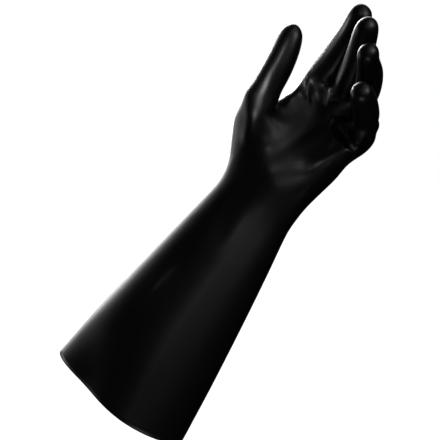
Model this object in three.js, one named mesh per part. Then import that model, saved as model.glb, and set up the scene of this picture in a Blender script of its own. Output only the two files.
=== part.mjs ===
// A left-hand neoprene chemical gauntlet, about 400 mm tall as its hand is held here, hollow from its open
// cuff to its finger tips.
//
// The real glove is dipped in one piece, so the model is one closed rubber shell. Short tables give the
// sections of the arm and the palm, the joints of the fingers and the sections of the thumb. They make a
// coarse cage of four-sided faces, which is rounded into a smooth surface: each face becomes four, and each
// point moves to where endless rounds of that rule would take it. That surface is the outside, and the same
// surface one wall thickness further in is the inside.
//
// Millimetres. The origin is the middle of the cuff's open end, and +Z runs up the forearm to the wrist.
// The palm faces -Y, and the thumb is on the -X side.

import * as THREE from "three";

const WALL = 1; // thickness of the rubber
const COLUMNS = 26; // cage points round the arm and the palm: 1 thumb side, 12 palm, 1 little side, 12 back
const LITTLE_SIDE = 13; // the column on the little finger's side; column 0 is on the thumb's side
const RUBBER = { color: 0x0d0d0f, roughness: 0.36, metalness: 0 };

// A table whose rows are written as lists under named columns.
const table = (columns, rows) => {
  const names = columns.split(" ");
  return rows.map((row) => Object.fromEntries(names.map((name, i) => [name, row[i]])));
};

// Sections of the arm, from the open end to the wrist: half sizes across (X) and through (Y).
const ARM = table("z across through", [
  [0, 68, 66.5],
  [28, 64.8, 62.6],
  [60, 61, 58],
  [125, 51.8, 47.5],
  [175, 44, 37.5],
  [203, 38.6, 31.5],
]);

// The open end is pressed flat on the palm's side. turn: degrees from the thumb's side towards the palm;
// half: half the angle that the flat spans; reach: how far up the arm it fades out.
const FLAT = { turn: 77, half: 56, depth: 17, reach: 62 };

// The wrist, from which the hand's own directions start: bent towards the back by extension, and towards
// the little finger by deviation, in degrees.
const WRIST = { x: 1, y: 1, z: 222, across: 38.6, through: 31, extension: 9.7, deviation: 8 };

// Rings of the palm. part: 0 at the wrist, 1 at the knuckles and 2 at the webs of the fingers.
// knuckles: how much of the ring's shape comes from the finger bones rather than from an oval.
// palmar and back: half thickness on either side of the bones; side: what lies outside the outer bones.
// radial and thenar: how far the ball of the thumb stands out sideways and from the palm; hypothenar: the
// same for the opposite edge of the palm.
const PALM = table("part knuckles across palmar back side radial thenar hypothenar", [
  [0.12, 0, 37.5, 34, 25, 10, 15, 10, 2],
  [0.28, 0.25, 40, 32, 21, 10.5, 26, 22, 4],
  [0.46, 0.55, 44, 26, 18, 11, 27, 27, 6],
  [0.64, 0.85, 48, 21, 16, 11, 15, 6, 6],
  [0.79, 1, 50, 18, 15.5, 11, 4, 1, 6],
  [0.9, 1, 50, 17, 15, 11, 0, 0, 5],
  [1, 1, 50, 16, 15, 11.5, 0, 0, 3],
  [1.2, 1, 50, 15, 14.5, 11.5, 0, 0, 0],
  [1.6, 1, 50, 13.5, 13.5, 11.5, 0, 0, 0],
]);
const PALM_LENGTH = 90; // from the wrist to the middle of the knuckles
const BONE_SPACING = 21.5; // between neighbouring fingers at the knuckles
const WRIST_SPACING = 0.75; // the share of that spacing which is left at the wrist

// The share of the last three columns above that a column of points takes.
const SHARES = table("column radial thenar ulnar hypothenar", [
  [24, 0.1, 0, 0, 0],
  [25, 0.45, 0.1, 0, 0],
  [0, 0.9, 0.5, 0, 0],
  [1, 0.9, 1.1, 0, 0],
  [2, -0.1, 1.1, 0, 0],
  [3, -0.25, 0.7, 0, 0],
  [4, -0.2, 0.35, 0, 0],
  [5, -0.1, 0.15, 0, 0],
  [10, 0, 0, 0.1, 0.1],
  [11, 0, 0, 0.15, 0.6],
  [12, 0, 0, 0.3, 0.9],
  [13, 0, 0, -0.1, 0.3],
]);
const NO_SHARE = { radial: 0, thenar: 0, ulnar: 0, hypothenar: 0 };

// The finger bones. ulnar, along, palmar: the knuckle's place from the wrist, in the hand's directions.
// spread: the finger's angle from the hand's axis towards the little finger; flex: bend at each joint.
// bones: lengths from knuckle to tip; web: from knuckle to web; wide and thick: the finger's half sizes.
const FINGERS = [
  {
    name: "index", ulnar: -36.5, along: 83, palmar: 0, spread: 6.5,
    flex: [32, 10, 5], bones: [48, 28, 26], web: 24, wide: 13, thick: 12.2,
  },
  {
    name: "middle", ulnar: -10.5, along: 88, palmar: -5, spread: 5,
    flex: [50, 9, 5], bones: [52, 32, 28], web: 26, wide: 11.2, thick: 12.6,
  },
  {
    name: "ring", ulnar: 13, along: 90, palmar: 0, spread: 2,
    flex: [54, 18, 10], bones: [48, 30, 27], web: 28, wide: 10.9, thick: 11.8,
  },
  {
    name: "little", ulnar: 32.5, along: 86, palmar: 7, spread: 1,
    flex: [72, 8, 6], bones: [38, 22, 25], web: 28, wide: 10.6, thick: 10.8,
  },
];
const BEND = [18, 14, 11]; // half the length over which a finger bends at each joint
const FAN = 0.55; // how much of a knuckle's sideways place its bone in the palm has at the wrist's end
const ROOT_SIZE = 0.86; // the share of its half sizes that a finger has at its root, between the webs

// Rings of a finger, as a share of its length from web to tip, with the share of its half sizes.
const FINGER_RINGS = table("share size", [
  [0.12, 1],
  [0.28, 1],
  [0.45, 0.98],
  [0.62, 0.94],
  [0.78, 0.89],
  [0.89, 0.82],
  [0.965, 0.6],
]);
const TIP_REACH = 1.02; // the cage's tip, as a share of the finger's length: rounding pulls it in a little

// Sections of the thumb from its root to its tip, in the hand's directions from the wrist.
// wide and thick: half sizes towards the palm and away from the fingers.
const THUMB = table("ulnar along palmar wide thick", [
  [-46, 49, 38, 16.5, 17],
  [-48.5, 57.5, 40.8, 14.6, 15.6],
  [-49.7, 65, 43.5, 13.4, 13.8],
  [-52, 77, 46.5, 13.2, 13],
  [-55.5, 89, 49.5, 12.8, 12.4],
  [-59.5, 101, 53, 11.8, 11.2],
  [-63, 110.5, 56, 9, 8.4],
]);
const THUMB_TIP = { ulnar: -65.5, along: 118.5, palmar: 58 };
const THUMB_OUTER = { ulnar: -0.45, palmar: 0.9 }; // the side of the thumb that faces away from the fingers
const THUMB_ROOT = { ring: 1, column: 0 }; // where the two by two faces start that the thumb grows from

// Spots where the rubber is pulled tight across the palm and at the thumb: each point of the cage there
// moves towards the middle of its neighbours, a few rounds over.
const TAUT_ROUNDS = 3;
const TAUT = table("name ulnar along palmar radius", [
  ["between thumb and palm", -22, 45, 32, 13],
  ["middle of the palm", -8, 42, 25, 15],
  ["towards the little finger", 6, 36, 26, 15],
  ["root of the thumb", -43, 50, 53, 11],
  ["ball of the thumb", -23, 19, 34, 14],
  ["edge of the palm", 22, 48, 24, 16],
]);

// Folds of the rubber: the middle line of each in the hand's directions [ulnar, along, palmar], its depth,
// which is negative for a line that stands up, its half width, and the height of the ridges beside it.
const FOLD_END = 8; // length over which a fold fades out at its ends
const FOLD_END_DEPTH = 0.15; // the share of its depth that it keeps there
const RIDGE_PLACE = 1.9; // the ridge's distance from the fold's middle, in half widths
const FOLDS = [
  {
    name: "crease round the root of the little finger", depth: 3.2, width: 3.4, ridge: 0.9,
    points: [
      [17, 90.5, 19], [10.5, 87.5, 16.5], [6, 84.5, 14], [5.5, 81.5, 13.5], [8.5, 78, 14.5],
      [13.5, 76, 14.5], [23.5, 74.5, 19.5], [31.5, 73.5, 22.5], [37, 75.5, 19.5],
    ],
  },
  {
    name: "edge of the web beside the thumb", depth: -1.8, width: 3, ridge: 0,
    points: [[-41, 93, 18.5], [-38, 88, 17], [-34, 84, 16], [-30, 80, 15], [-25.5, 76, 14], [-21.5, 72, 13]],
  },
  {
    name: "bone of the thumb", depth: -1.7, width: 6.5, ridge: 0,
    points: [
      [-52, 44, 48], [-45, 39.5, 47], [-39.5, 34, 44], [-35.5, 27.5, 40.5], [-32.5, 18, 33.5], [-30.5, 8, 27],
    ],
  },
];

// Places where the surface swells, or sinks where the height is negative.
const PADS = table("name ulnar along palmar radius height", [
  ["root of the index finger", -44, 100, 18, 12, 2],
  ["palm side of the index finger", -41, 140, 46, 18, -1.3],
  ["outer side of the ring finger", 20, 138, 69, 13, -2.4],
  ["web between thumb and index finger", -37, 68, 14, 9, 3.8],
  ["crotch of the thumb", -41, 67, 29, 8, -2.2],
  ["edge of the hand below the thumb", -40, 1, 16, 16, 4],
  ["side of the thumb's bone", -58, 37, 39, 12, -1.5],
  ["waist of the thumb", -56, 56, 46, 10, -1.6],
  ["hollow behind the little knuckle", 42, 84, 8, 12, -2.8],
  ["back of the little knuckle", 39, 100, 8, 12, -2.6],
  ["hollow below it", 40, 75, 0, 10, -1.8],
  ["narrow edge of the hand", 37, 66, -6, 12, -2.6],
  ["rubber bunched under the little finger", 31, 88, 31, 8, 2.6],
  ["soft edge of the palm", 24, 48, 22, 11, 1.6],
  ["hollow behind the web", -25, 88, 15.5, 9, -1.6],
]);
const RING = 8; // points round a finger or the thumb
const OCTAGON_SWELL = 1.1; // a rounded octagon is a tenth smaller than its cage

const radians = THREE.MathUtils.degToRad;
const smooth = (value, low, high) => THREE.MathUtils.smoothstep(value, low, high);
const mix = THREE.MathUtils.lerp;
const bell = (value) => Math.exp(-(value ** 2));
const at = (x, y, z) => new THREE.Vector3(x, y, z);
const blend = (a, much, b, more) => a.clone().multiplyScalar(much).addScaledVector(b, more);

// The hand's directions: along it, towards the little finger, and out of the palm.
function handDirections() {
  const along = at(Math.sin(radians(WRIST.deviation)), Math.sin(radians(WRIST.extension)), 1).normalize();
  const ulnar = at(1, 0, 0).addScaledVector(along, -along.x).normalize();
  return { along, ulnar, palmar: ulnar.clone().cross(along) };
}
const HAND = handDirections();
const WRIST_CENTRE = at(WRIST.x, WRIST.y, WRIST.z);

// A point given in the hand's directions from the wrist.
function inHand(ulnar, along, palmar) {
  return WRIST_CENTRE.clone()
    .addScaledVector(HAND.ulnar, ulnar)
    .addScaledVector(HAND.along, along)
    .addScaledVector(HAND.palmar, palmar);
}
const placeOf = (row) => inHand(row.ulnar, row.along, row.palmar);

// The direction of a finger, its palm side and its little-finger side, at a distance beyond its knuckle.
function fingerDirections(finger, distance) {
  const joints = [0, finger.bones[0], finger.bones[0] + finger.bones[1]];
  let bend = 0;
  joints.forEach((joint, i) => {
    bend += finger.flex[i] * smooth(distance, joint - BEND[i], joint + BEND[i]);
  });
  const inPalm = Math.atan2(finger.ulnar * FAN, finger.along);
  const spread = mix(inPalm, radians(finger.spread), smooth(distance, -BEND[0], BEND[0]));
  const straight = blend(HAND.along, Math.cos(spread), HAND.ulnar, Math.sin(spread));
  const angle = radians(bend);
  const forward = blend(straight, Math.cos(angle), HAND.palmar, Math.sin(angle));
  const palmar = blend(straight, -Math.sin(angle), HAND.palmar, Math.cos(angle));
  return { forward, palmar, ulnar: forward.clone().cross(palmar) };
}

// The middle of a finger's bones at a distance beyond its knuckle, or before it when negative.
function fingerCentre(finger, distance) {
  const centre = placeOf(finger);
  const step = Math.sign(distance);
  for (let gone = 0; gone < Math.abs(distance); gone += 1) {
    const length = Math.min(1, Math.abs(distance) - gone);
    centre.addScaledVector(fingerDirections(finger, step * (gone + length / 2)).forward, step * length);
  }
  return centre;
}

// The cage: points and four-sided faces, each face listed anticlockwise as seen from outside.
const cage = { points: [], quads: [] };
const keep = (points) => points.map((p) => cage.points.push(p) - 1);

// Faces between two closed rings of the same count, the second further along.
function bridge(low, high) {
  low.forEach((_, i) => {
    const next = (i + 1) % low.length;
    cage.quads.push([low[i], low[next], high[next], high[i]]);
  });
}

// Closes a ring of a finger with four faces round a middle point.
function closeTip(ring, tip) {
  const [middle] = keep([tip]);
  for (let i = 0; i < RING; i += 2) cage.quads.push([middle, ring[i], ring[i + 1], ring[(i + 2) % RING]]);
}

// An oval ring of the arm or the palm: column 0 is on the thumb's side, and the palm side comes next.
function oval(centre, ulnar, palmar, across, palmarHalf, backHalf) {
  return Array.from({ length: COLUMNS }, (_, column) => {
    const turn = (2 * Math.PI * column) / COLUMNS;
    const out = Math.sin(turn);
    return centre.clone()
      .addScaledVector(ulnar, -across * Math.cos(turn))
      .addScaledVector(palmar, out * (out > 0 ? palmarHalf : backHalf));
  });
}

// Which finger a palm column belongs to, whether it is on the palm or the back, and its place across.
function columnRole(column) {
  if (column === 0) return { finger: 0, face: 0, place: -1 };
  if (column === LITTLE_SIDE) return { finger: 3, face: 0, place: 1 };
  const step = (column % LITTLE_SIDE) - 1;
  const finger = Math.floor(step / 3);
  const place = (step % 3) - 1;
  return column < LITTLE_SIDE ? { finger, face: 1, place } : { finger: 3 - finger, face: -1, place: -place };
}

// A ring of the palm, which goes from an oval at the wrist to the row of finger bones at the knuckles.
function palmRing(row) {
  const reach = Math.min(row.part, 1);
  const spacing = BONE_SPACING * mix(WRIST_SPACING, 1, reach);
  const middle = inHand(-reach, PALM_LENGTH * reach, 0);
  const round = oval(middle, HAND.ulnar, HAND.palmar, row.across, row.palmar, row.back);
  return round.map((point, column) => {
    const role = columnRole(column);
    const finger = FINGERS[role.finger];
    const distance = (row.part - 1) * (row.part > 1 ? finger.web : finger.along);
    const way = fingerDirections(finger, distance);
    const sideways = role.face === 0 ? role.place * row.side : (role.place * spacing) / 3;
    const outward = role.face === 0 ? 0 : role.face > 0 ? row.palmar : -row.back;
    const bony = fingerCentre(finger, distance)
      .addScaledVector(way.ulnar, sideways)
      .addScaledVector(way.palmar, outward);
    const share = SHARES.find((entry) => entry.column === column) ?? NO_SHARE;
    return point.lerp(bony, row.knuckles)
      .addScaledVector(HAND.ulnar, share.ulnar * row.hypothenar - share.radial * row.radial)
      .addScaledVector(HAND.palmar, share.thenar * row.thenar + share.hypothenar * row.hypothenar);
  });
}

// The points round a finger: palm middle, then towards the little finger, the back and the thumb's side.
function fingerRing(finger, distance, size) {
  const way = fingerDirections(finger, distance);
  const centre = fingerCentre(finger, distance);
  return Array.from({ length: RING }, (_, i) => {
    const turn = (2 * Math.PI * i) / RING;
    return centre.clone()
      .addScaledVector(way.palmar, Math.cos(turn) * finger.thick * size * OCTAGON_SWELL)
      .addScaledVector(way.ulnar, Math.sin(turn) * finger.wide * size * OCTAGON_SWELL);
  });
}

// A ring of the arm, pushed in where the open end is flat.
function armRing({ z, across, through }) {
  const centre = at(0, 0, z);
  const left = 1 - smooth(z, 0, FLAT.reach);
  return oval(centre, at(1, 0, 0), at(0, -1, 0), across, through, through).map((point, column) => {
    const away = Math.min(1, Math.abs((360 * column) / COLUMNS - FLAT.turn) / FLAT.half);
    const push = FLAT.depth * left * Math.cos((away * Math.PI) / 2) ** 2;
    return point.addScaledVector(centre.clone().sub(point).normalize(), push);
  });
}

// Rings of the arm, the wrist and the palm, without the faces that the thumb grows from.
const wristRing = oval(WRIST_CENTRE, HAND.ulnar, HAND.palmar, WRIST.across, WRIST.through, WRIST.through);
const rings = [...ARM.map(armRing), wristRing, ...PALM.map(palmRing)].map(keep);
rings.slice(1).forEach((ring, i) => bridge(rings[i], ring));

const thumbRow = ARM.length + 1 + THUMB_ROOT.ring;
const grid = (row, column) => rings[thumbRow + row][(THUMB_ROOT.column + column + COLUMNS) % COLUMNS];
const inThumbRoot = (quad) => {
  const corners = [0, 1, 2].flatMap((row) => [0, 1, 2].map((column) => grid(row, column)));
  return quad.every((index) => corners.includes(index));
};
cage.quads = cage.quads.filter((quad) => !inThumbRoot(quad));

// The roots of the fingers, to which the last ring of the palm is joined, except between the fingers.
const lastPalm = rings[rings.length - 1];
const roots = FINGERS.map((finger) => keep(fingerRing(finger, finger.web, ROOT_SIZE)));
for (let column = 0; column < COLUMNS; column += 1) {
  const next = (column + 1) % COLUMNS;
  cage.quads.push([lastPalm[column], lastPalm[next], rootPoint(next), rootPoint(column)]);
}
function rootPoint(column) {
  const role = columnRole(column);
  const around = role.face === 0 ? 2 * role.place : role.face > 0 ? role.place : 4 - role.place;
  return roots[role.finger][(around + RING) % RING];
}

// The webs between neighbouring fingers, two faces each.
for (let i = 0; i < 3; i += 1) {
  const [near, far] = [roots[i], roots[i + 1]];
  cage.quads.push([near[1], far[7], far[6], near[2]], [near[2], far[6], far[5], near[3]]);
}

// The fingers beyond their roots.
FINGERS.forEach((finger, i) => {
  const length = finger.bones.reduce((sum, bone) => sum + bone, 0);
  let last = roots[i];
  FINGER_RINGS.forEach(({ share, size }) => {
    const ring = keep(fingerRing(finger, mix(finger.web, length, share), size));
    bridge(last, ring);
    last = ring;
  });
  closeTip(last, fingerCentre(finger, length * TIP_REACH));
});

// The thumb: its rings start on its outer side and turn towards the palm.
const thumbOuter = blend(HAND.ulnar, THUMB_OUTER.ulnar, HAND.palmar, THUMB_OUTER.palmar);

function thumbRing(row, i) {
  const forward = placeOf(THUMB[i + 1] ?? THUMB_TIP).sub(placeOf(THUMB[i - 1] ?? row)).normalize();
  const outer = blend(thumbOuter, 1, forward, -thumbOuter.dot(forward)).normalize();
  const palmar = forward.clone().cross(outer);
  return Array.from({ length: RING }, (_, k) => {
    const turn = (2 * Math.PI * k) / RING;
    return placeOf(row)
      .addScaledVector(outer, Math.cos(turn) * row.thick * OCTAGON_SWELL)
      .addScaledVector(palmar, Math.sin(turn) * row.wide * OCTAGON_SWELL);
  });
}
const ROOT_PATH = [[0, 1], [0, 2], [1, 2], [2, 2], [2, 1], [2, 0], [1, 0], [0, 0]]; // round the gap for it
let lastThumb = ROOT_PATH.map(([row, column]) => grid(row, column));
THUMB.forEach((row, i) => {
  const ring = keep(thumbRing(row, i));
  bridge(lastThumb, ring);
  lastThumb = ring;
});
closeTip(lastThumb, placeOf(THUMB_TIP));

// The point in the middle of the thumb's root is in no face now, so the points are numbered again without it.
const inUse = [...new Set(cage.quads.flat())].sort((a, b) => a - b);
const renumber = new Map(inUse.map((index, i) => [index, i]));
const tidyCage = {
  points: inUse.map((index) => cage.points[index]),
  quads: cage.quads.map((quad) => quad.map((index) => renumber.get(index))),
};

// What surrounds each point of a mesh of four-sided faces: points along edges, across faces, and on the rim.
function surroundings({ points, quads }) {
  const edgeFaces = new Map();
  const around = points.map(() => ({ edges: new Set(), diagonals: [], faces: [], rim: [] }));
  const edgeKey = (a, b) => (a < b ? `${a}_${b}` : `${b}_${a}`);
  quads.forEach((quad, face) => {
    quad.forEach((index, i) => {
      const next = quad[(i + 1) % 4];
      around[index].edges.add(next);
      around[next].edges.add(index);
      around[index].diagonals.push(quad[(i + 2) % 4]);
      around[index].faces.push(face);
      const key = edgeKey(index, next);
      edgeFaces.set(key, [...(edgeFaces.get(key) ?? []), face]);
    });
  });
  edgeFaces.forEach((faces, key) => {
    if (faces.length > 1) return;
    const [a, b] = key.split("_").map(Number);
    around[a].rim.push(b);
    around[b].rim.push(a);
  });
  return { around, edgeFaces, edgeKey };
}

const average = (list) => list.reduce((sum, p) => sum.add(p), at(0, 0, 0)).divideScalar(list.length);

// The cage with its taut spots relaxed.
function relax(mesh) {
  const { around } = surroundings(mesh);
  const nearness = (p, spot) => bell(p.distanceTo(placeOf(spot)) / spot.radius);
  const tautness = mesh.points.map((p) => Math.max(...TAUT.map((spot) => nearness(p, spot))));
  let points = mesh.points;
  for (let round = 0; round < TAUT_ROUNDS; round += 1) {
    const before = points;
    const middles = around.map(({ edges }) => average([...edges].map((index) => before[index])));
    points = before.map((p, i) => p.clone().lerp(middles[i], tautness[i]));
  }
  return { points, quads: mesh.quads };
}

// One round of rounding: each face becomes four, and each point moves towards what surrounds it.
function subdivide(mesh) {
  const { points, quads } = mesh;
  const { around, edgeFaces, edgeKey } = surroundings(mesh);
  const facePoints = quads.map((quad) => average(quad.map((index) => points[index])));
  const edgePoints = new Map();
  edgeFaces.forEach((faces, key) => {
    const ends = key.split("_").map((index) => points[index]);
    const beside = faces.length > 1 ? faces.map((face) => facePoints[face]) : [];
    edgePoints.set(key, average([...ends, ...beside]));
  });
  const moved = points.map((p, index) => {
    const { edges, faces, rim } = around[index];
    if (rim.length) return blend(p, 0.75, average(rim.map((i) => points[i])), 0.25);
    const n = edges.size;
    const ends = average([...edges].map((i) => points[i]));
    const middles = average(faces.map((face) => facePoints[face]));
    return blend(blend(p, (n - 2) / n, ends, 1 / n), 1, middles, 1 / n);
  });
  const finer = { points: [...moved, ...facePoints], quads: [] };
  const edgeIndex = new Map();
  edgePoints.forEach((p, key) => edgeIndex.set(key, finer.points.push(p) - 1));
  quads.forEach((quad, face) => {
    quad.forEach((index, i) => {
      const ahead = edgeIndex.get(edgeKey(index, quad[(i + 1) % 4]));
      const behind = edgeIndex.get(edgeKey(index, quad[(i + 3) % 4]));
      finer.quads.push([index, ahead, points.length + face, behind]);
    });
  });
  return finer;
}

// Moves each point to where endless rounds of rounding would take it.
function toLimit(mesh) {
  const { around } = surroundings(mesh);
  return mesh.points.map((p, index) => {
    const { edges, diagonals, rim } = around[index];
    if (rim.length) return blend(p, 2 / 3, average(rim.map((i) => mesh.points[i])), 1 / 3);
    const n = edges.size;
    const sum = p.clone().multiplyScalar(n * n);
    edges.forEach((i) => sum.addScaledVector(mesh.points[i], 4));
    diagonals.forEach((i) => sum.add(mesh.points[i]));
    return sum.divideScalar(n * (n + 5));
  });
}

// The direction out of the surface at each point, from the faces round it.
function outwardAt(points, quads) {
  const normals = points.map(() => at(0, 0, 0));
  quads.forEach((quad) => {
    const [a, b, c, d] = quad.map((index) => points[index]);
    const normal = c.clone().sub(a).cross(d.clone().sub(b));
    quad.forEach((index) => normals[index].add(normal));
  });
  return normals.map((normal) => normal.normalize());
}

// How far a point of the surface is pushed out, or in when negative, by the pads near it.
function padAt(point) {
  return PADS.reduce((sum, pad) => sum + pad.height * bell(point.distanceTo(placeOf(pad)) / pad.radius), 0);
}

// The same for the folds.
function foldAt(point) {
  let push = 0;
  FOLDS.forEach(({ depth, width, ridge, points }) => {
    const line = points.map(([ulnar, along, palmar]) => inHand(ulnar, along, palmar));
    const near = nearestOn(line, point);
    const across = near.distance / width;
    push += near.fade * (ridge * bell(across - RIDGE_PLACE) - depth * bell(across));
  });
  return push;
}

// The distance from a line of points, and how much of a fold's depth is left there: it fades at both ends.
function nearestOn(line, point) {
  const lengths = line.slice(1).map((end, i) => end.distanceTo(line[i]));
  const total = lengths.reduce((sum, length) => sum + length, 0);
  let best = { distance: Infinity, fade: 0 };
  let gone = 0;
  lengths.forEach((length, i) => {
    const segment = new THREE.Line3(line[i], line[i + 1]);
    const share = segment.closestPointToPointParameter(point, true);
    const distance = segment.at(share, at(0, 0, 0)).distanceTo(point);
    const place = gone + share * length;
    const fade = smooth(Math.min(place, total - place), 0, FOLD_END);
    if (distance < best.distance) best = { distance, fade: Math.max(fade, FOLD_END_DEPTH) };
    gone += length;
  });
  return best;
}

// Every point of a surface moved along its outward direction, by what is asked for at its place.
function pushed(points, quads, amountAt) {
  const outward = outwardAt(points, quads);
  return points.map((p, i) => p.clone().addScaledVector(outward[i], amountAt(p)));
}

const fine = subdivide(relax(tidyCage));
const padded = pushed(toLimit(fine), fine.quads, padAt);
const outside = pushed(padded, fine.quads, foldAt);
const outward = outwardAt(outside, fine.quads);
const { around: fineAround } = surroundings(fine);
const inside = outside.map((p, i) => {
  const moved = p.clone().addScaledVector(outward[i], -WALL);
  if (fineAround[i].rim.length) moved.z = 0; // the cuff is cut off flat
  return moved;
});

// One closed shell: the outside, the inside turned round, and the cut edge between them.
const count = outside.length;
const shellQuads = [];
fine.quads.forEach((quad) => {
  shellQuads.push(quad);
  shellQuads.push([...quad].reverse().map((index) => index + count));
  quad.forEach((index, i) => {
    const next = quad[(i + 1) % 4];
    const onRim = fineAround[index].rim.includes(next);
    if (onRim) shellQuads.push([next, index, index + count, next + count]);
  });
});
const vertices = [...outside, ...inside];
const triangles = shellQuads.flatMap(([a, b, c, d]) => {
  const shorter = vertices[a].distanceToSquared(vertices[c]) < vertices[b].distanceToSquared(vertices[d]);
  return shorter ? [a, b, c, a, c, d] : [a, b, d, b, c, d];
});

const geometry = new THREE.BufferGeometry();
geometry.setAttribute("position", new THREE.Float32BufferAttribute(vertices.flatMap((p) => p.toArray()), 3));
geometry.setIndex(triangles);
geometry.computeVertexNormals();

const glove = new THREE.Mesh(geometry, new THREE.MeshStandardMaterial(RUBBER));
glove.name = "glove_shell";
const part = new THREE.Group();
part.add(glove);

export default part;
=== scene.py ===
# %% [markdown]
# # A neoprene chemical gauntlet
#
# The glove is a left-hand gauntlet of black neoprene. It is made by dipping a porcelain hand into liquid
# rubber, so it has no seam and no separate piece anywhere: cuff, palm, thumb and fingers are one skin, less
# than a millimetre thick. What makes it look real is therefore its form, the folds where the rubber is
# pushed together by the curled fingers, and a soft half-gloss that turns pale at the edges.
#
# The file first loads the measured solid of the same glove. Everything made here stays in its frame: metres,
# +Z up the forearm, the palm facing -Y and the thumb on the -X side.

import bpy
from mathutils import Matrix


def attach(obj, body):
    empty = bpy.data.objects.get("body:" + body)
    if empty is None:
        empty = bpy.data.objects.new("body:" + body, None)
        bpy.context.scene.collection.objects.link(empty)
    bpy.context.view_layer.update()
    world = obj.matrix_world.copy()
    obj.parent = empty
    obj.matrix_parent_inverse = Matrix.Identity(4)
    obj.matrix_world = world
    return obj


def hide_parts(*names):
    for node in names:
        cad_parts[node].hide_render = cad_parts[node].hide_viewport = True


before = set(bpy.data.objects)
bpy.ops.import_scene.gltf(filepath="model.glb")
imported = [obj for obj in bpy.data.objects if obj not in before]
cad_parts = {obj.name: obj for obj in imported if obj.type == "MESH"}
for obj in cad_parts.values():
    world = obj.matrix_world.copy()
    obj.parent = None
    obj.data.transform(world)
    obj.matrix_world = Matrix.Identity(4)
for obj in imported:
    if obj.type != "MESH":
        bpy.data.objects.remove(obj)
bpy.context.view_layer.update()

# %% [markdown]
# ## Small helpers
#
# Hands are easier to think about in millimetres, so the tables are in millimetres and become metres when the
# mesh is made. A table's row is a short list, which a helper turns into named values. Two curves do most of
# the modelling: a smooth step from 0 to 1, and a bell that fades away from a place.

# %% Helpers
import math

import bpy
import numpy as np
from mathutils import Matrix, Vector

MM = 0.001  # a millimetre in metres


def table(columns, rows):
    """Rows written as lists, turned into dictionaries under named columns."""
    return [dict(zip(columns.split(), row)) for row in rows]


def unit(vector):
    """The same direction, one long."""
    return vector / np.linalg.norm(vector)


def smooth(value, low, high):
    """0 below low, 1 above high, and a smooth rise between them."""
    share = np.clip((value - low) / (high - low), 0, 1)
    return share * share * (3 - 2 * share)


def bell(value):
    """1 at 0, about a third at 1 and nearly nothing beyond 2."""
    return np.exp(-(value ** 2))


print("the step at a half:", float(smooth(0.5, 0, 1)), "and the bell at 1:", round(float(bell(1)), 2))

# %% [markdown]
# ## The forearm and the wrist
#
# A gauntlet's cuff is a cone. Its sections are ovals, wide at the open end and narrow at the wrist, and the
# open end has been pressed a little flat on the palm's side. It could be a cylinder that is scaled and bent,
# but rings of points are as short to write and join the palm's rings without a seam. A few are enough,
# because the surface is rounded later.
#
# The hand has its own three directions, which lean towards the back of the hand and towards the little
# finger, as a relaxed wrist does. Every place on the hand is given along them.

# %% Directions of the hand
WRIST = {
    "centre": (1, 1, 222),
    "across": 38.6,  # half widths
    "through": 31,
    "extension": 9.7,  # degrees towards the back of the hand
    "deviation": 8,  # degrees towards the little finger
}

lean = [math.sin(math.radians(WRIST["deviation"])), math.sin(math.radians(WRIST["extension"])), 1]
ALONG = unit(np.array(lean))
ULNAR = unit(np.array([1, 0, 0]) - ALONG * ALONG[0])
PALMAR = np.cross(ULNAR, ALONG)
WRIST_CENTRE = np.array(WRIST["centre"], float)


def in_hand(ulnar, along, palmar):
    """A point given towards the little finger, along the hand and out of the palm, from the wrist."""
    return WRIST_CENTRE + ULNAR * ulnar + ALONG * along + PALMAR * palmar


print("the hand leans", [round(float(v), 3) for v in ALONG])

# %% Sections of the forearm
COLUMNS = 26  # points round the arm and the palm: 1 thumb side, 12 palm, 1 little finger side, 12 back
ARM = table("z across through", [  # the height of each section and its half widths
    (0, 68, 66.5),
    (28, 64.8, 62.6),
    (60, 61, 58),
    (125, 51.8, 47.5),
    (175, 44, 37.5),
    (203, 38.6, 31.5),
])
FLAT = {
    "turn": 77,  # degrees round from the thumb's side to the middle of the pressed stretch
    "half": 56,  # degrees from there to where it ends
    "depth": 17,
    "reach": 62,  # how far up the forearm it fades
}


def turns_round(count):
    """Equal steps round a full turn, in radians."""
    return 2 * math.pi * np.arange(count) / count


def oval(centre, ulnar, palmar, across, palmar_half, back_half):
    """A ring of points that starts on the thumb's side and passes the palm first."""
    turns = turns_round(COLUMNS)
    through = np.where(np.sin(turns) > 0, palmar_half, back_half) * np.sin(turns)
    return centre - np.outer(across * np.cos(turns), ulnar) + np.outer(through, palmar)


def arm_ring(row):
    centre = np.array([0, 0, row["z"]], float)
    sides = np.array([1, 0, 0]), np.array([0, -1, 0])
    ring = oval(centre, *sides, row["across"], row["through"], row["through"])
    away = np.abs(360 * np.arange(COLUMNS) / COLUMNS - FLAT["turn"]) / FLAT["half"]
    push = FLAT["depth"] * np.cos(np.minimum(away, 1) * math.pi / 2) ** 2
    push *= 1 - smooth(row["z"], 0, FLAT["reach"])
    inward = (centre - ring) / np.linalg.norm(centre - ring, axis=1, keepdims=True)
    return ring + inward * push[:, None]


print("forearm:", len(ARM), "sections, the cuff", 2 * ARM[0]["across"], "mm across")

# %% [markdown]
# ## Bones and fingers
#
# A glove follows the hand, so the surface is hung on the bones. Each finger has a knuckle, three bones and a
# bend at each joint, spread over a short length so that the rubber curves round it. Fingers could be drawn
# straight and bent by an armature. Here a formula gives the direction at any distance from the knuckle, so
# that a curl is no more than three angles in a table.
#
# A row gives the place of the knuckle in the hand, the spread and the three bends in degrees, the lengths of
# the bones, how far past the knuckle the finger comes free of the web, and its half widths.

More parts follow.
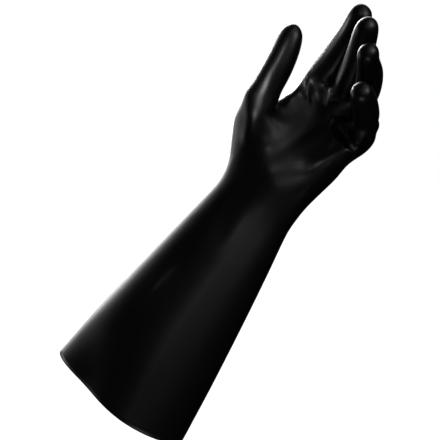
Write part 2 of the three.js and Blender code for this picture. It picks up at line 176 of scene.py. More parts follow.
# %% Finger bones
FINGERS = table("name ulnar along palmar spread flex bones web wide thick", [
    ("index", -36.5, 83, 0, 6.5, (32, 10, 5), (48, 28, 26), 24, 13, 12.2),
    ("middle", -10.5, 88, -5, 5, (50, 9, 5), (52, 32, 28), 26, 11.2, 12.6),
    ("ring", 13, 90, 0, 2, (54, 18, 10), (48, 30, 27), 28, 10.9, 11.8),
    ("little", 32.5, 86, 7, 1, (72, 8, 6), (38, 22, 25), 28, 10.6, 10.8),
])
BEND = (18, 14, 11)  # each joint bends over this length on both of its sides
FAN = 0.55  # inside the palm the bones fan out by this share of the way from the wrist to their knuckles


def finger_directions(finger, distance):
    """Forward, palm side and little-finger side of a finger, at a distance beyond its knuckle."""
    joints = (0, finger["bones"][0], finger["bones"][0] + finger["bones"][1])
    bends = [f * smooth(distance, j - b, j + b) for f, j, b in zip(finger["flex"], joints, BEND)]
    in_palm = math.atan2(finger["ulnar"] * FAN, finger["along"])
    opened = smooth(distance, -BEND[0], BEND[0])
    spread = in_palm + (math.radians(finger["spread"]) - in_palm) * opened
    straight = ALONG * math.cos(spread) + ULNAR * math.sin(spread)
    angle = math.radians(sum(bends))
    forward = straight * math.cos(angle) + PALMAR * math.sin(angle)
    palmar = PALMAR * math.cos(angle) - straight * math.sin(angle)
    return forward, palmar, np.cross(forward, palmar)


def finger_centre(finger, distance):
    """The middle of a finger, reached from its knuckle in steps of a millimetre, forwards or backwards."""
    centre = in_hand(finger["ulnar"], finger["along"], finger["palmar"])
    step = math.copysign(1, distance)
    gone = 0
    while gone < abs(distance):
        length = min(1, abs(distance) - gone)
        centre = centre + finger_directions(finger, step * (gone + length / 2))[0] * step * length
        gone += 1
    return centre


for finger in FINGERS:
    print(finger["name"], "tip at", finger_centre(finger, sum(finger["bones"])).round(1).tolist(), "mm")

# %% Rings round a finger
RING = 8  # points round a finger or the thumb
PALM_AT, LITTLE_AT, BACK_AT, THUMB_AT = 0, 2, 4, 6  # the points of a finger's ring on its four sides
OCTAGON_SWELL = 1.1  # a rounded octagon is a tenth smaller than its cage


def octagon(centre, first, second, first_half, second_half):
    """Eight points round a centre: point 0 lies in the first direction and point 2 in the second."""
    turns = turns_round(RING)
    ring = centre + np.outer(np.cos(turns) * (first_half * OCTAGON_SWELL), first)
    return ring + np.outer(np.sin(turns) * (second_half * OCTAGON_SWELL), second)


def finger_ring(finger, distance, size):
    _, palmar, ulnar = finger_directions(finger, distance)
    centre = finger_centre(finger, distance)
    return octagon(centre, palmar, ulnar, finger["thick"] * size, finger["wide"] * size)


print("a finger's ring has", len(finger_ring(FINGERS[0], 0, 1)), "points")

# %% [markdown]
# ## The palm
#
# The palm's sections go from an oval at the wrist to a row of four finger bones at the knuckles, with pads
# for the ball of the thumb and for the opposite edge of the palm. It could be a box that is pushed into
# shape, but sections with as many points as the forearm's carry one even grid from the cuff to the fingers.
#
# In the first table, part is the share of the way from the wrist to the knuckles, and beyond 1 one more than
# the share of the way on to the webs. Knuckles is how far the section follows the finger bones instead of
# the oval. The next four values are half widths: to the sides, to the palm, to the back, and beyond the
# outer bones. The last three say how far the thumb's side, the ball of the thumb and the opposite edge stand
# out, and the second table says which share of that each column of points takes.

# %% Sections of the palm
PALM = table("part knuckles across palmar back side radial thenar hypothenar", [
    (0.12, 0, 37.5, 34, 25, 10, 15, 10, 2),
    (0.28, 0.25, 40, 32, 21, 10.5, 26, 22, 4),
    (0.46, 0.55, 44, 26, 18, 11, 27, 27, 6),
    (0.64, 0.85, 48, 21, 16, 11, 15, 6, 6),
    (0.79, 1, 50, 18, 15.5, 11, 4, 1, 6),
    (0.9, 1, 50, 17, 15, 11, 0, 0, 5),
    (1, 1, 50, 16, 15, 11.5, 0, 0, 3),
    (1.2, 1, 50, 15, 14.5, 11.5, 0, 0, 0),
    (1.6, 1, 50, 13.5, 13.5, 11.5, 0, 0, 0),
])
SHARES = {row["column"]: row for row in table("column radial thenar ulnar hypothenar", [
    (24, 0.1, 0, 0, 0),
    (25, 0.45, 0.1, 0, 0),
    (0, 0.9, 0.5, 0, 0),
    (1, 0.9, 1.1, 0, 0),
    (2, -0.1, 1.1, 0, 0),
    (3, -0.25, 0.7, 0, 0),
    (4, -0.2, 0.35, 0, 0),
    (5, -0.1, 0.15, 0, 0),
    (10, 0, 0, 0.1, 0.1),
    (11, 0, 0, 0.15, 0.6),
    (12, 0, 0, 0.3, 0.9),
    (13, 0, 0, -0.1, 0.3),
])}
NO_SHARE = {"radial": 0, "thenar": 0, "ulnar": 0, "hypothenar": 0}
LITTLE_FINGER = len(FINGERS) - 1  # its place in the row of fingers
LITTLE_SIDE = 13  # the column on the little finger's side; column 0 is on the thumb's side
FINGER_COLUMNS = 3  # the columns of one finger on the palm, and again on the back
PALM_LENGTH = 90  # from the wrist to the knuckles
PALM_SHIFT = -1  # at the knuckles the oval's middle lies this far towards the thumb
BONE_SPACING = 21.5  # between two finger bones at the knuckles
WRIST_SPACING = 0.75  # the share of that spacing that is left at the wrist


def column_role(column):
    """Which finger a palm column belongs to, its face (palm 1, back -1, side 0) and its place across."""
    if column in (0, LITTLE_SIDE):
        return (0, 0, -1) if column == 0 else (LITTLE_FINGER, 0, 1)
    finger, place = divmod(column % LITTLE_SIDE - 1, FINGER_COLUMNS)
    return (finger, 1, place - 1) if column < LITTLE_SIDE else (LITTLE_FINGER - finger, -1, 1 - place)


def bony_point(row, column, spacing):
    """Where a column's point lies if the section follows the finger bones."""
    nth, face, place = column_role(column)
    finger = FINGERS[nth]
    distance = (row["part"] - 1) * (finger["web"] if row["part"] > 1 else finger["along"])
    _, palmar, ulnar = finger_directions(finger, distance)
    sideways = place * row["side"] if face == 0 else place * spacing / FINGER_COLUMNS
    outward = {0: 0, 1: row["palmar"], -1: -row["back"]}[face]
    return finger_centre(finger, distance) + ulnar * sideways + palmar * outward


def palm_ring(row):
    reach = min(row["part"], 1)
    spacing = BONE_SPACING * (WRIST_SPACING + (1 - WRIST_SPACING) * reach)
    middle = in_hand(PALM_SHIFT * reach, PALM_LENGTH * reach, 0)
    ring = oval(middle, ULNAR, PALMAR, row["across"], row["palmar"], row["back"])
    for column in range(COLUMNS):
        share = SHARES.get(column, NO_SHARE)
        ring[column] += (bony_point(row, column, spacing) - ring[column]) * row["knuckles"]
        ring[column] += ULNAR * (share["ulnar"] * row["hypothenar"] - share["radial"] * row["radial"])
        ring[column] += PALMAR * (share["thenar"] * row["thenar"] + share["hypothenar"] * row["hypothenar"])
    return ring


print("palm:", len(PALM), "sections, with pads on", len(SHARES), "of their", COLUMNS, "points")

# %% [markdown]
# ## The cage
#
# Dipped rubber runs from one finger into the next without a seam. Fingers could be joined to a palm by a
# Boolean modifier or by remeshing, but the first leaves a hard edge and the second blurs the webs. So the
# rings are joined into one coarse net of four-sided faces, which is called a cage. The palm's last
# ring splits into four roots, the gaps between the roots are the webs, and the thumb grows out of a gap of
# two by two faces in the ball of the thumb. A cage of some seven hundred faces describes the whole glove.

# %% Forearm and palm as a net
net_points = []
net_faces = []


def keep(points):
    """Adds points to the net and gives their numbers."""
    first = len(net_points)
    net_points.extend(points)
    return list(range(first, len(net_points)))


def bridge(low, high):
    """Joins two rings of the same count by a band of faces."""
    for i in range(len(low)):
        j = (i + 1) % len(low)
        net_faces.append((low[i], low[j], high[j], high[i]))


wrist_ring = oval(WRIST_CENTRE, ULNAR, PALMAR, WRIST["across"], WRIST["through"], WRIST["through"])
rings = [keep(ring) for ring in [*map(arm_ring, ARM), wrist_ring, *map(palm_ring, PALM)]]
for low, high in zip(rings, rings[1:]):
    bridge(low, high)
print("net of", len(rings), "rings and", len(net_faces), "faces")

# %% Thumb
THUMB = table("ulnar along palmar wide thick", [
    (-46, 49, 38, 16.5, 17),
    (-48.5, 57.5, 40.8, 14.6, 15.6),
    (-49.7, 65, 43.5, 13.4, 13.8),
    (-52, 77, 46.5, 13.2, 13),
    (-55.5, 89, 49.5, 12.8, 12.4),
    (-59.5, 101, 53, 11.8, 11.2),
    (-63, 110.5, 56, 9, 8.4),
])
THUMB_TIP = in_hand(-65.5, 118.5, 58)
THUMB_OUTER = ULNAR * -0.45 + PALMAR * 0.9  # the side of the thumb that faces away from the fingers
THUMB_ROOT = {"ring": 1, "column": 0, "faces": 2}  # where its gap in the palm starts, and its width
ROOT_PATH = ((0, 1), (0, 2), (1, 2), (2, 2), (2, 1), (2, 0), (1, 0), (0, 0))  # ring and column round the gap


def thumb_ring(i):
    centres = [in_hand(row["ulnar"], row["along"], row["palmar"]) for row in THUMB] + [THUMB_TIP]
    forward = unit(centres[i + 1] - centres[max(i - 1, 0)])
    outer = unit(THUMB_OUTER - forward * THUMB_OUTER.dot(forward))
    return octagon(centres[i], outer, np.cross(forward, outer), THUMB[i]["thick"], THUMB[i]["wide"])


def close_tip(ring, tip):
    """Closes a ring of eight with four faces round the tip."""
    (middle,) = keep([tip])
    for i in range(0, RING, 2):
        net_faces.append((middle, ring[i], ring[i + 1], ring[(i + 2) % RING]))


palm_rings = rings[len(ARM) + 1:]
corners = THUMB_ROOT["faces"] + 1
gap = [ring[THUMB_ROOT["column"]:][:corners] for ring in palm_rings[THUMB_ROOT["ring"]:][:corners]]
gap_points = set(sum(gap, []))
net_faces = [face for face in net_faces if not set(face) <= gap_points]
last = [gap[row][column] for row, column in ROOT_PATH]
for i in range(len(THUMB)):
    ring = keep(thumb_ring(i))
    bridge(last, ring)
    last = ring
close_tip(last, THUMB_TIP)
print("with the thumb:", len(net_faces), "faces")

# %% Roots of the fingers and the webs
ROOT_SIZE = 0.86  # the first ring is narrower than the finger, since the web holds it

roots = [keep(finger_ring(finger, finger["web"], ROOT_SIZE)) for finger in FINGERS]


def root_point(column):
    """The point of a finger's root that a column of the palm's last ring meets."""
    finger, face, place = column_role(column % COLUMNS)
    around = {0: LITTLE_AT * place, 1: PALM_AT + place, -1: BACK_AT - place}[face]
    return roots[finger][around % RING]


for column in range(COLUMNS):
    palm_edge = rings[-1][column], rings[-1][(column + 1) % COLUMNS]
    net_faces.append((*palm_edge, root_point(column + 1), root_point(column)))
for near, far in zip(roots, roots[1:]):
    for step in (-1, 0):
        little_edge = near[LITTLE_AT + step], near[LITTLE_AT + step + 1]
        thumb_edge = far[THUMB_AT - step], far[THUMB_AT - step - 1]
        net_faces.append((little_edge[0], *thumb_edge, little_edge[1]))
print("with the roots and webs:", len(net_faces), "faces")

# %% Fingers
FINGER_RINGS = ((0.12, 1), (0.28, 1), (0.45, 0.98), (0.62, 0.94), (0.78, 0.89), (0.89, 0.82), (0.965, 0.6))
TIP_REACH = 1.02  # the cage's tip stands out a little, since rounding pulls it in

for finger, root in zip(FINGERS, roots):
    length = sum(finger["bones"])
    last = root
    for share, size in FINGER_RINGS:  # the share of the way from the web to the tip, and the size there
        ring = keep(finger_ring(finger, finger["web"] + (length - finger["web"]) * share, size))
        bridge(last, ring)
        last = ring
    close_tip(last, finger_centre(finger, length * TIP_REACH))

used = sorted({index for face in net_faces for index in face})
renumber = {index: i for i, index in enumerate(used)}
cage = np.array([net_points[index] for index in used])
cage_faces = np.array([[renumber[index] for index in face] for face in net_faces])
print("cage:", len(cage), "points and", len(cage_faces), "faces")

# %% [markdown]
# ## Rubber pulled tight
#
# A dipped glove does not follow every hollow of the hand: where the thumb is held away, the rubber is
# stretched between the thumb and the palm, like the skin of a drum. A cloth simulation could stretch it, but
# it would move the whole glove. Here each point near a few named spots moves towards the middle of its
# neighbours, a few times over, which tightens the net only there.

# %% Taut palm
TAUT = table("name ulnar along palmar radius", [
    ("between thumb and palm", -22, 45, 32, 13),
    ("middle of the palm", -8, 42, 25, 15),
    ("towards the little finger", 6, 36, 26, 15),
    ("root of the thumb", -43, 50, 53, 11),
    ("ball of the thumb", -23, 19, 34, 14),
    ("edge of the palm", 22, 48, 24, 16),
])
TAUT_ROUNDS = 3


def edges_of(faces):
    """The four edges of each face, in the direction in which the face runs round them."""
    return np.concatenate([faces[:, [i, (i + 1) % 4]] for i in range(4)])


def neighbours(faces):
    """Pairs of points that share an edge, each pair both ways round."""
    pairs = np.unique(np.sort(edges_of(faces), axis=1), axis=0)
    return np.concatenate([pairs, pairs[:, ::-1]])


def relax(points, pairs, weight, rounds):
    """Moves points towards the middle of their neighbours, by their weight, again and again."""
    degree = np.bincount(pairs[:, 0], minlength=len(points))
    for _ in range(rounds):
        sums = [np.bincount(pairs[:, 0], points[pairs[:, 1], axis], len(points)) for axis in range(3)]
        points = points + weight[:, None] * (np.array(sums).T / degree[:, None] - points)
    return points


spots = [(in_hand(spot["ulnar"], spot["along"], spot["palmar"]), spot["radius"]) for spot in TAUT]
taut = np.max([bell(np.linalg.norm(cage - middle, axis=1) / radius) for middle, radius in spots], axis=0)
loose_cage = cage
cage = relax(cage, neighbours(cage_faces), taut, TAUT_ROUNDS)
print("the rubber moves up to", round(float(np.linalg.norm(cage - loose_cage, axis=1).max()), 1), "mm")

# %% [markdown]
# ## Rounding the cage
#
# Rubber has no corner anywhere. A Subdivision Surface modifier turns each face into four, again and again,
# and rounds the result, and its limit surface is the form that it would reach in the end. Three levels leave
# points a millimetre or two apart on the hand, close enough for the folds. The modifier could stay on the
# object, but its result is read as a plain mesh, so that its points can be moved one by one.

# %% Rounded skin
LEVELS = 3


def mesh_from(name, points, faces):
    mesh = bpy.data.meshes.new(name)
    mesh.from_pydata([tuple(p) for p in points], [], [tuple(f) for f in faces])
    mesh.update()
    return mesh


def read_mesh(mesh):
    """The points and the four-sided faces of a mesh."""
    points = np.empty(len(mesh.vertices) * 3)
    mesh.vertices.foreach_get("co", points)
    faces = np.empty(len(mesh.polygons) * 4, int)
    mesh.polygons.foreach_get("vertices", faces)
    return points.reshape(-1, 3), faces.reshape(-1, 4)


cage_mesh = mesh_from("cage", cage, cage_faces.tolist())
rounder = bpy.data.objects.new("rounder", cage_mesh)
bpy.context.scene.collection.objects.link(rounder)
modifier = rounder.modifiers.new("round", "SUBSURF")
modifier.levels = modifier.render_levels = LEVELS
modifier.use_limit_surface = True
rounded = bpy.data.meshes.new_from_object(rounder.evaluated_get(bpy.context.evaluated_depsgraph_get()))
skin, faces = read_mesh(rounded)
bpy.data.objects.remove(rounder)
bpy.data.meshes.remove(cage_mesh)
bpy.data.meshes.remove(rounded)
print("skin:", len(skin), "points and", len(faces), "faces")

# %% [markdown]
# ## Soft places
#
# Between the bones the rubber bulges or sinks over a centimetre or so: a hollow behind a knuckle, a web, the
# soft edge of the palm. A soft brush in Sculpt Mode could do this. A list of named spots, each with a radius
# and a height, does the same in code and can be read and changed, and a negative height is a hollow. The
# skin moves along its outward direction, which at a point is the mean of the faces round it.

# %% Pads and hollows
PADS = table("name ulnar along palmar radius height", [
    ("root of the index finger", -44, 100, 18, 12, 2),
    ("palm side of the index finger", -41, 140, 46, 18, -1.3),
    ("outer side of the ring finger", 20, 138, 69, 13, -2.4),
    ("web between thumb and index finger", -37, 68, 14, 9, 3.8),
    ("crotch of the thumb", -41, 67, 29, 8, -2.2),
    ("edge of the hand below the thumb", -40, 1, 16, 16, 4),
    ("side of the thumb's bone", -58, 37, 39, 12, -1.5),
    ("waist of the thumb", -56, 56, 46, 10, -1.6),
    ("hollow behind the little knuckle", 42, 84, 8, 12, -2.8),
    ("back of the little knuckle", 39, 100, 8, 12, -2.6),
    ("hollow below it", 40, 75, 0, 10, -1.8),
    ("narrow edge of the hand", 37, 66, -6, 12, -2.6),
    ("rubber bunched under the little finger", 31, 88, 31, 8, 2.6),
    ("soft edge of the palm", 24, 48, 22, 11, 1.6),
    ("hollow behind the web", -25, 88, 15.5, 9, -2.6),
])


def outward_at(points, faces):
    a, b, c, d = (points[faces[:, i]] for i in range(4))
    across = np.cross(c - a, d - b)
    normals = np.zeros_like(points)
    for i in range(4):
        np.add.at(normals, faces[:, i], across)
    return normals / np.linalg.norm(normals, axis=1, keepdims=True)


def pad_push(pad, points):
    middle = in_hand(pad["ulnar"], pad["along"], pad["palmar"])
    return pad["height"] * bell(np.linalg.norm(points - middle, axis=1) / pad["radius"])


push = sum(pad_push(pad, skin) for pad in PADS)
padded = skin + outward_at(skin, faces) * push[:, None]
print("pads move the skin by", round(float(push.min()), 1), "to", round(float(push.max()), 1), "mm")

# %% [markdown]
# ## Folds
#
# Rubber does not shrink when fingers curl, so it bunches. The deepest fold runs round the root of the little
# finger like a letter C, and smaller ones lie on the webs and over the thumb's bone. A cloth simulation can
# make folds, but not in the places where the photograph shows them, so each is drawn along a line. The same
# tool makes the long shallow hollow over the wrist and the swell of the forearm.
#
# Each fold is a line of points in the hand with a depth and a half width, and a negative depth stands up as
# a ridge. Gather is how much the skin is drawn sideways to the line, which makes a crease crisp, and end is
# the length over which the fold fades out at both of its ends.

# %% Lines of the folds
FOLDS = table("name depth width gather end points", [
    ("crease round the root of the little finger", 4.8, 2.1, 0.5, 5, (
        (17, 90.5, 19), (10.5, 87.5, 16.5), (6, 84.5, 14), (5.5, 81.5, 13.5), (8.5, 78, 14.5),
        (13.5, 76, 14.5), (23.5, 74.5, 19.5), (31.5, 73.5, 22.5), (37, 75.5, 19.5), (38.5, 79, 13))),
    ("its lip", -1.6, 1.7, 0.2, 5, (
        (17.5, 93, 21), (10.5, 89, 17.5), (2, 85, 13.5), (1, 82, 12), (6, 77, 14),
        (12.5, 73.5, 15), (24.5, 71, 21), (33.5, 70.5, 24))),
    ("its inner ridge", -1, 2, 0.2, 5, (
        (12.5, 84.5, 15), (17.5, 81, 14.5), (25, 78, 19), (31.5, 77.5, 20), (36.5, 80, 18.5))),
    ("edge of the web beside the thumb", -1.8, 2.6, 0, 10, (
        (-40, 94.5, 18), (-37, 89.5, 16.5), (-33, 85.5, 15.5), (-29, 81.5, 14.5), (-24.5, 77.5, 13.5),
        (-20, 73.5, 12.5))),
    ("web of the middle finger", -1.5, 1.8, 0, 4, (
        (-12, 93, 15.5), (-8, 92.5, 16), (-5.5, 94.5, 16.5), (-3.5, 98, 18.5), (-2.5, 102, 21))),
    ("bone of the thumb", -1.7, 6.5, 0, 16, (
        (-52, 44, 48), (-45, 39.5, 47), (-39.5, 34, 44), (-35.5, 27.5, 40.5), (-32.5, 18, 33.5),
        (-30.5, 8, 27))),
    ("hollow of the wrist", 1, 8, 0, 25, (
        (4, -1, 31), (0.5, -22, 29), (4.5, -38, 29.5), (12.5, -54, 29.5), (20, -73.5, 29.5))),
    ("swell of the forearm", -1.2, 7, 0, 12, ((2.5, -110, 30), (7, -122.5, 30.5), (12, -137, 30.5))),
])
CORNER_ROUNDS = 2
CORNER_SHARE = 0.25  # how much of a stretch is cut off at each of its ends


def rounded_line(fold):
    """A fold's line with its corners cut, so that no kink shows in the rubber."""
    line = np.array([in_hand(*p) for p in fold["points"]])
    for _ in range(CORNER_ROUNDS):
        start, end = line[:-1], line[1:]
        near = start * (1 - CORNER_SHARE) + end * CORNER_SHARE
        far = start * CORNER_SHARE + end * (1 - CORNER_SHARE)
        line = np.concatenate([line[:1], np.stack([near, far], axis=1).reshape(-1, 3), line[-1:]])
    return line


print("folds:", ", ".join(f"{fold['name']} ({fold['depth']} mm)" for fold in FOLDS))

# %% Fold the skin
FOLD_END_DEPTH = 0.15  # the share of its depth that a fold keeps at its ends
GATHER_REACH = 2.5  # how far to each side points are drawn to a fold, in half widths


def near_line(fold, points):
    """The nearest place on a fold's line for each point, and the share of the fold's depth there."""
    line = rounded_line(fold)
    lengths = np.linalg.norm(np.diff(line, axis=0), axis=1)
    starts = np.concatenate([[0], np.cumsum(lengths)])
    nearest = np.full(points.shape, np.inf)
    place = np.zeros(len(points))
    for start, end, length, gone in zip(line, line[1:], lengths, starts):
        share = np.clip((points - start) @ (end - start) / length ** 2, 0, 1)
        here = start + share[:, None] * (end - start)
        nearer = np.linalg.norm(points - here, axis=1) < np.linalg.norm(points - nearest, axis=1)
        nearest[nearer] = here[nearer]
        place[nearer] = (gone + share * length)[nearer]
    fade = smooth(np.minimum(place, starts[-1] - place), 0, fold["end"])
    return nearest, np.maximum(fade, FOLD_END_DEPTH)


def gathered(fold, points):
    """The points drawn along the skin towards a fold's line."""
    nearest, fade = near_line(fold, points)
    gap = nearest - points
    much = fold["gather"] * fade * bell(np.linalg.norm(gap, axis=1) / (GATHER_REACH * fold["width"]))
    return points + gap * much[:, None]


def fold_push(fold, points):
    """How far a fold moves each point outwards."""
    nearest, fade = near_line(fold, points)
    return -fold["depth"] * fade * bell(np.linalg.norm(nearest - points, axis=1) / fold["width"])


drawn = padded
for fold in FOLDS:
    drawn = gathered(fold, drawn)
push = sum(fold_push(fold, drawn) for fold in FOLDS)
folded = drawn + outward_at(drawn, faces) * push[:, None]
print("folds move the skin by", round(float(push.min()), 1), "to", round(float(push.max()), 1), "mm")

# %% [markdown]
# ## The wall and the cut edge
#
# The skin so far is only the outside. Its copy, one wall thickness further in and turned round, is the
# inside, and a narrow band between their two edges is the cut end of the cuff. A Solidify modifier does
# nearly the same, but here the cut end has to stay flat, as the measured solid's is. Together the three make
# one closed shell, hollow where the arm goes in.

# %% Shell
WALL = 1  # as in the measured solid; the real rubber is about 0.75 mm


def edge_loop(faces):
    """The points of the open edge, in order along the faces beside it."""
    edges = {tuple(edge) for edge in edges_of(faces).tolist()}
    onward = {a: b for a, b in edges if (b, a) not in edges}
    loop = [next(iter(onward))]
    while onward[loop[-1]] != loop[0]:
        loop.append(onward[loop[-1]])
    return loop


rim = edge_loop(faces)
inside = folded - outward_at(folded, faces) * WALL
inside[rim, 2] = 0  # the cuff is cut off flat
folded[rim, 2] = 0
count = len(folded)
band = [(b, a, a + count, b + count) for a, b in zip(rim, rim[1:] + rim[:1])]
shell_faces = np.concatenate([faces, faces[:, ::-1] + count, np.array(band)])
glove_mesh = mesh_from("glove", np.concatenate([folded, inside]) * MM, shell_faces)
glove_mesh.shade_smooth()
glove = bpy.data.objects.new("dipped_glove", glove_mesh)
bpy.context.scene.collection.objects.link(glove)
print("shell:", len(shell_faces) * 2, "triangles, cut edge of", len(rim), "points")

# %% [markdown]
# ## Neoprene
#
# Neoprene is a synthetic rubber, here coloured black and dipped, then washed, which leaves a skin that is
# neither matt nor glossy. The eye reads it from broad, soft reflections: nearly black where it faces a dark
# room, and pale where it is seen at a grazing angle. Its index of refraction is 1.56. The dip runs a little
# uneven over a centimetre or so, in height and in gloss, which keeps the reflections from looking like
# plastic. The rubber's own grain is finer than the picture can show, so it is drawn about a millimetre wide.
# Both could be painted, but noise in three dimensions has a true size and no seam on any form.
#
# Blender's colours are linear light, while a colour given as a code is in sRGB, so one function turns the
# code into linear values. Another adds a node with its settings and links.

# %% Colours and nodes
def linear(code):
    """A colour such as "#0d0d0f" as linear red, green, blue and alpha."""
    values = [int(code[i:i + 2], 16) / 255 for i in (1, 3, 5)]
    return (*[v / 12.92 if v <= 0.04045 else ((v + 0.055) / 1.055) ** 2.4 for v in values], 1.0)


def add(tree, kind, settings=None, links=None):
    """Adds a node; a setting named like one of its properties is that property, any other an input."""
    node = tree.nodes.new(kind)
    for key, value in (settings or {}).items():
        if isinstance(key, str) and hasattr(node, key):
            setattr(node, key, value)
        else:
            node.inputs[key].default_value = value
    for key, source in (links or {}).items():
        tree.links.new(source, node.inputs[key])
    return node


print("middle grey is", round(linear("#808080")[0], 3), "in linear light")

# %% Neoprene material
RUBBER_BLACK = "#040405"
RUBBER_IOR = 1.56
RUBBER_ROUGHNESS = {"To Min": 0.29, "To Max": 0.38}  # a half-gloss, uneven with the dip
DIP = {"width": 14, "detail": 3, "depth": 0.6, "strength": 0.25}  # widths and depths in mm
GRAIN = {"width": 0.9, "detail": 2, "depth": 0.1, "strength": 0.12}  # coarser than real, so that it shows

neoprene = bpy.data.materials.new("neoprene_dipped_black")
neoprene.use_nodes = True
tree = neoprene.node_tree
tree.nodes.clear()
on_glove = add(tree, "ShaderNodeTexCoord").outputs["Object"]
relief = None
heights = []
for wave in (DIP, GRAIN):
    noise = add(tree, "ShaderNodeTexNoise", {"Scale": 1 / (wave["width"] * MM), "Detail": wave["detail"]},
                {"Vector": on_glove})
    heights.append(noise.outputs["Fac"])
    bump = add(tree, "ShaderNodeBump", {"Strength": wave["strength"], "Distance": wave["depth"] * MM},
               {"Height": heights[-1], **({"Normal": relief} if relief else {})})
    relief = bump.outputs["Normal"]
gloss = add(tree, "ShaderNodeMapRange", RUBBER_ROUGHNESS, {"Value": heights[0]})
rubber = add(tree, "ShaderNodeBsdfPrincipled", {"Base Color": linear(RUBBER_BLACK), "IOR": RUBBER_IOR},
             {"Roughness": gloss.outputs["Result"], "Normal": relief})
add(tree, "ShaderNodeOutputMaterial", links={"Surface": rubber.outputs["BSDF"]})
glove_mesh.materials.append(neoprene)
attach(glove, "root")
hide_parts("glove_shell")
print("material:", neoprene.name)

# %% [markdown]
# ## Camera
#
# The camera looks at the palm from a little to the little finger's side and a little above, and it is rolled
# so that the forearm runs from the lower left to the upper right. A long lens keeps the glove's proportions.
# A constraint could aim it, but its three directions are worked out here, because the lights use them too.

# %% Camera
CAMERA = {"azimuth": 25, "elevation": 7.2, "roll": 34.7, "distance": 1.07, "lens": 100}  # degrees, m, mm
CAMERA_TARGET = Vector((-0.0201, 0.0046, 0.1762))


def camera_axes(azimuth, elevation, roll):
    """The camera's right, up and backward directions, for angles in degrees."""
    a, e, r = (math.radians(angle) for angle in (azimuth, elevation, roll))
    back = Vector((math.sin(a) * math.cos(e), -math.cos(a) * math.cos(e), math.sin(e)))
    level = Vector((math.cos(a), math.sin(a), 0))
    upright = back.cross(level)
    right = level * math.cos(r) + upright * math.sin(r)
    return right, back.cross(right), back


RIGHT, UP, BACK = camera_axes(CAMERA["azimuth"], CAMERA["elevation"], CAMERA["roll"])
camera_data = bpy.data.cameras.new("camera")
camera_data.lens = CAMERA["lens"]
camera = bpy.data.objects.new("camera", camera_data)
bpy.context.scene.collection.objects.link(camera)
camera.matrix_world = Matrix.Translation(CAMERA_TARGET + BACK * CAMERA["distance"]) @ Matrix(
    [[RIGHT[i], UP[i], BACK[i]] for i in range(3)]).to_4x4()
bpy.context.scene.camera = camera
print("camera at", [round(c, 3) for c in camera.matrix_world.translation])

# %% [markdown]
# ## The mirrored room
#
# A black object shows little of its own colour. What the eye sees on it is the room, mirrored softly, so the
# room is what has to be drawn: a white ground, and a dark room with a few soft lights. They could be area
# lights round the glove. Here each is a round glow in the world instead, which has no edge that could show
# in the rubber and no distance to choose, only a direction.
#
# The direction is given as seen from the glove, in degrees: turn goes from the camera to the camera's right,
# with 180 behind the glove, and rise goes up. Spread is the angle at which the glow is half as bright. Glows
# behind the glove make the pale edges, because rubber mirrors most at a grazing angle.
#
# The camera sees the world as plain white, and a matt surface sees an even light, so neither shows a glow.

# %% Glows
GLOWS = table("name turn rise spread strength", [
    ("backdrop behind the forearm", -170, 25, 12, 12),
    ("backdrop above the forearm", -160, 30, 12, 7),
    ("backdrop on the left", -125, 0, 12, 1.5),
    ("softbox on the right", 50, 15, 12, 2.5),
    ("high fill on the right", 40, 25, 25, 0.5),
    ("small light beside the lens", 5, 0, 5, 0.7),
    ("low fill in front", 0, -75, 12, 1.2),
    ("light from above", 75, 55, 12, 0.4),
])
GROUND_WHITE = 1  # what the camera sees of the world
GROUND_LIGHT = 1.1  # what lights the matt floor, just enough to make it white


def light_direction(turn, rise):
    """The way from the glove to a light, for its turn and rise in degrees."""
    t, r = math.radians(turn), math.radians(rise)
    return (BACK * math.cos(t) + RIGHT * math.sin(t)) * math.cos(r) + UP * math.sin(r)


room = bpy.data.worlds.new("studio_room")
room.use_nodes = True
air = room.node_tree
air.nodes.clear()
direction = add(air, "ShaderNodeTexCoord").outputs["Generated"]
mirrored = None
for glow in GLOWS:
    towards = light_direction(glow["turn"], glow["rise"])
    sharpness = math.log(2) / (1 - math.cos(math.radians(glow["spread"])))
    facing = add(air, "ShaderNodeVectorMath", {"operation": "DOT_PRODUCT", 1: towards}, {0: direction})
    fall = add(air, "ShaderNodeMath", {"operation": "MULTIPLY_ADD", 1: sharpness, 2: -sharpness},
               {0: facing.outputs["Value"]})
    disc = add(air, "ShaderNodeMath", {"operation": "EXPONENT"}, {0: fall.outputs[0]})
    added = add(air, "ShaderNodeMath", {"operation": "MULTIPLY_ADD", 1: glow["strength"], 2: 0},
                {0: disc.outputs[0], **({2: mirrored} if mirrored else {})})
    mirrored = added.outputs[0]
ray = add(air, "ShaderNodeLightPath")
matt = add(air, "ShaderNodeMix", {"B": GROUND_LIGHT},
           {"Factor": ray.outputs["Is Diffuse Ray"], "A": mirrored})
seen = add(air, "ShaderNodeMix", {"B": GROUND_WHITE},
           {"Factor": ray.outputs["Is Camera Ray"], "A": matt.outputs["Result"]})
light = add(air, "ShaderNodeBackground", {"Color": linear("#ffffff")}, {"Strength": seen.outputs["Result"]})
add(air, "ShaderNodeOutputWorld", links={"Surface": light.outputs["Background"]})
bpy.context.scene.world = room
print("room:", len(GLOWS), "soft glows")

# %% [markdown]
# ## Narrow lamps
#
# A glow shows on every part of the glove that mirrors its direction, so a highlight that lies in one place
# only needs a light of its own. A studio has snoots and small reflectors for that. Here each is a far lamp
# with a beam about as narrow as the place that it lights. Its aim is a point in the hand and its reach is
# the radius of the beam there, both in millimetres. It stands about in the direction that the place mirrors
# to the camera, which is written as a turn and a rise like a glow's.

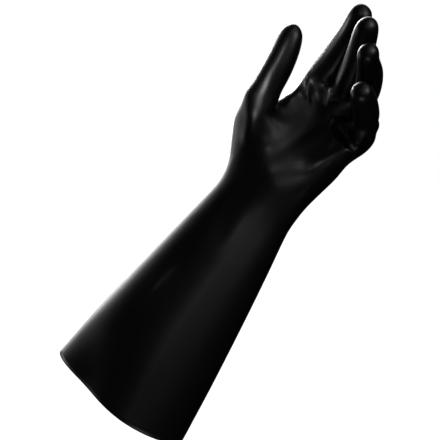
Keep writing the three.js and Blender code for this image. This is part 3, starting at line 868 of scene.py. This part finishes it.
# %% Lamps
LAMPS = table("name aim reach turn rise watts", [
    ("end_of_the_thumb", (-53, 94, 60), 32, -20, 5, 5),
    ("middle_of_the_thumb", (-50, 74, 58), 32, -35, -5, 7),
    ("foot_of_the_thumb", (-42, 54, 50), 28, -30, -15, 13),
    ("side_of_the_web", (-38.5, 84, 18), 9, -95, 15, 17),
    ("front_of_the_web", (-34, 83, 17), 8, -10, 5, 3),
    ("edge_of_the_web", (-36, 78, 17), 7, 5, 50, 5),
    ("side_of_the_index_finger", (-37, 123, 38), 30, -115, 5, 5),
    ("front_of_the_index_finger", (-31, 115, 33), 24, -75, -25, 0.9),
    ("tip_of_the_index_finger", (-26, 156, 63), 12, -10, 15, 2),
    ("side_of_the_hand", (-52, 20, 20), 30, -135, 15, 4),
    ("side_of_the_thumb", (-66, 82, 45), 40, -130, 25, 20),
    ("heel_of_the_palm", (21, 24, 25), 22, -5, 10, 0.9),
    ("edge_of_the_palm", (27, 51, 24), 16, -30, 25, 2.5),
    ("right_of_the_palm", (17, 34, 25), 18, -15, 40, 1.4),
    ("hollow_of_the_palm", (-4, 42, 24), 18, 15, 50, 1.1),
    ("lip_of_the_fold", (11, 75, 15), 12, 95, 50, 0.6),
    ("middle_of_the_palm", (-8, 27, 30), 26, -10, 40, 1.6),
    ("top_of_the_forearm", (21.5, -42, 27.5), 28, -5, 15, 0.7),
    ("swell_of_the_forearm", (7, -122, 30.5), 24, -55, 35, 0.35),
])
LAMP_DISTANCE = 1.2  # m
LAMP_RADIUS = 0.012  # m, so a lamp is about a degree wide as seen from the glove

for row in LAMPS:
    towards = light_direction(row["turn"], row["rise"])
    aim = Vector(in_hand(*row["aim"]).tolist()) * MM
    lamp = bpy.data.lights.new("lamp_on_" + row["name"], "SPOT")
    lamp.energy = row["watts"]
    lamp.shadow_soft_size = LAMP_RADIUS
    lamp.spot_size = 2 * math.atan2(row["reach"] * MM, LAMP_DISTANCE)
    lamp.spot_blend = 1
    holder = bpy.data.objects.new(lamp.name, lamp)
    bpy.context.scene.collection.objects.link(holder)
    facing_glove = towards.to_track_quat("Z", "Y").to_matrix().to_4x4()
    holder.matrix_world = Matrix.Translation(aim + towards * LAMP_DISTANCE) @ facing_glove
print("lamps:", len(LAMPS), "narrow beams from", LAMP_DISTANCE, "m")

# %% [markdown]
# ## Floor
#
# The glove stands free in front of white in the photograph, so the floor is matt white paper well below the
# cuff. It is kept out of the mirrored room, as if a black card lay on it, because its white would grey the
# rubber from below. The standard view transform keeps white paper white.

# %% Floor and picture
FLOOR_DEPTH = 0.3  # m below the cuff
FLOOR_HALF = 20  # m from its middle to its sides
PAPER_WHITE = "#fafafa"

signs = ((-1, -1), (1, -1), (1, 1), (-1, 1))
floor_corners = [(x * FLOOR_HALF, y * FLOOR_HALF, -FLOOR_DEPTH) for x, y in signs]
floor_mesh = mesh_from("floor", floor_corners, [(0, 1, 2, 3)])
floor = bpy.data.objects.new("floor", floor_mesh)
bpy.context.scene.collection.objects.link(floor)
floor.visible_glossy = False
paper = bpy.data.materials.new("paper_matt_white")
paper.use_nodes = True
paper.node_tree.nodes.clear()
sheet = add(paper.node_tree, "ShaderNodeBsdfDiffuse", {"Color": linear(PAPER_WHITE)})
add(paper.node_tree, "ShaderNodeOutputMaterial", links={"Surface": sheet.outputs["BSDF"]})
floor_mesh.materials.append(paper)
bpy.context.scene.view_settings.view_transform = "Standard"
print("floor", FLOOR_DEPTH, "m below the cuff")
